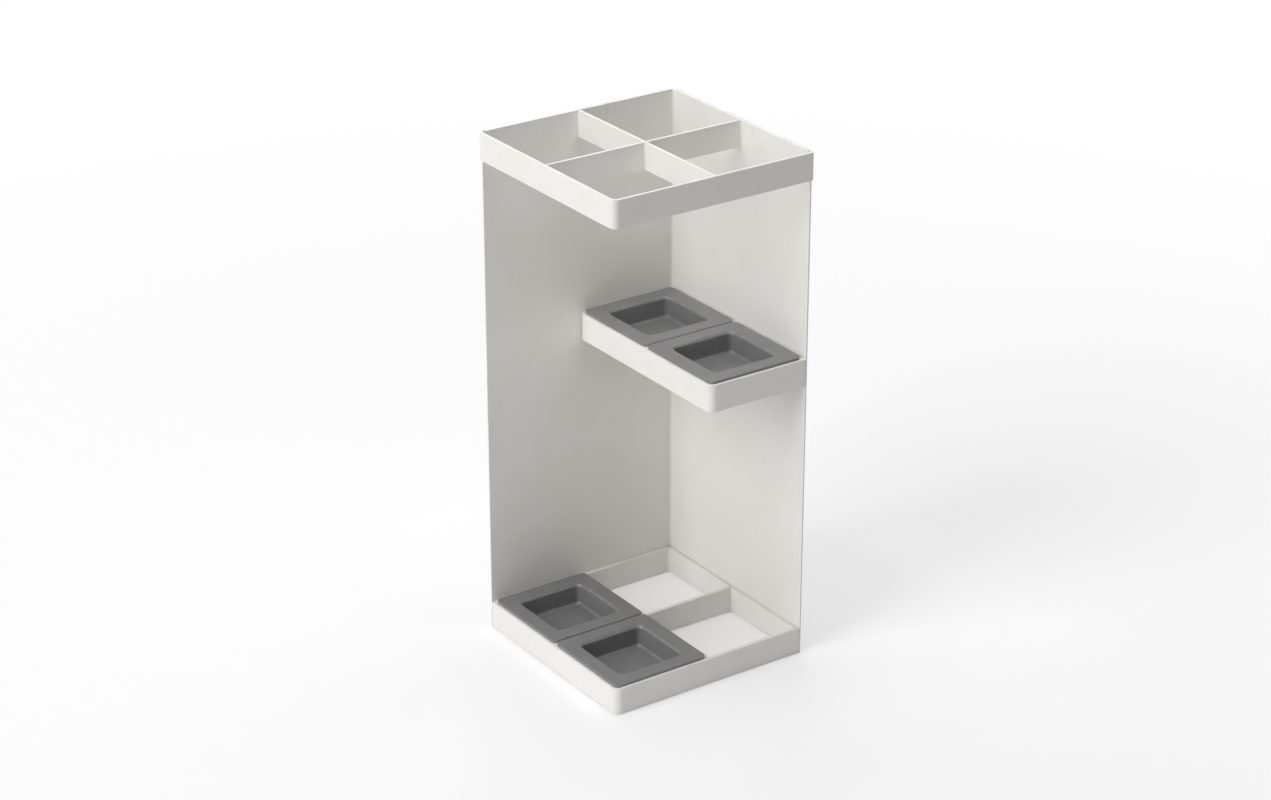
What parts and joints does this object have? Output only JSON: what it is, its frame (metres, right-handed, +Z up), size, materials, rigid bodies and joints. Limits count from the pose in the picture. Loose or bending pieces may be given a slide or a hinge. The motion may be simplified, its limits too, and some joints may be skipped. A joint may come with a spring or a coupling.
{
  "type": "umbrella stand",
  "caption": "Square steel umbrella stand, closed at the back and the right, with a divided top band, a raised shelf for short umbrellas and lift-out drip cups.",
  "frame": {"origin": "on the floor, under the middle of the walls' square footprint", "axes": "+Z up; the stand is open towards -X and -Y, and its closed walls stand at +X and +Y; the raised shelf is on the +X side"},
  "size_m": [0.1642, 0.1642, 0.38],
  "materials": {
    "powder_coated_steel": "warm white powder coat, fine orange peel, low sheen",
    "moulded_grey": "mid grey moulding, fine matt spark texture"
  },
  "bodies": {
    "stand": {"wall_panel": "powder_coated_steel", "top_band": "powder_coated_steel", "top_divider_across": "powder_coated_steel", "top_divider_along": "powder_coated_steel", "shelf_frame": "powder_coated_steel", "shelf_divider": "powder_coated_steel", "foot_frame": "powder_coated_steel", "foot_divider_across": "powder_coated_steel", "foot_divider_along": "powder_coated_steel"},
    "front_foot_cup": {"foot_cup_front": "moulded_grey"},
    "back_foot_cup": {"foot_cup_back": "moulded_grey"},
    "front_shelf_cup": {"shelf_cup_front": "moulded_grey"},
    "back_shelf_cup": {"shelf_cup_back": "moulded_grey"}
  },
  "joints": [
    {"name": "front_foot_cup_lift", "type": "slide", "parent": "stand", "child": "front_foot_cup", "axis": [0, 0, 1], "range_m": [0, 0.03]},
    {"name": "back_foot_cup_lift", "type": "slide", "parent": "stand", "child": "back_foot_cup", "axis": [0, 0, 1], "range_m": [0, 0.03]},
    {"name": "front_shelf_cup_lift", "type": "slide", "parent": "stand", "child": "front_shelf_cup", "axis": [0, 0, 1], "range_m": [0, 0.03]},
    {"name": "back_shelf_cup_lift", "type": "slide", "parent": "stand", "child": "back_shelf_cup", "axis": [0, 0, 1], "range_m": [0, 0.03]}
  ]
}
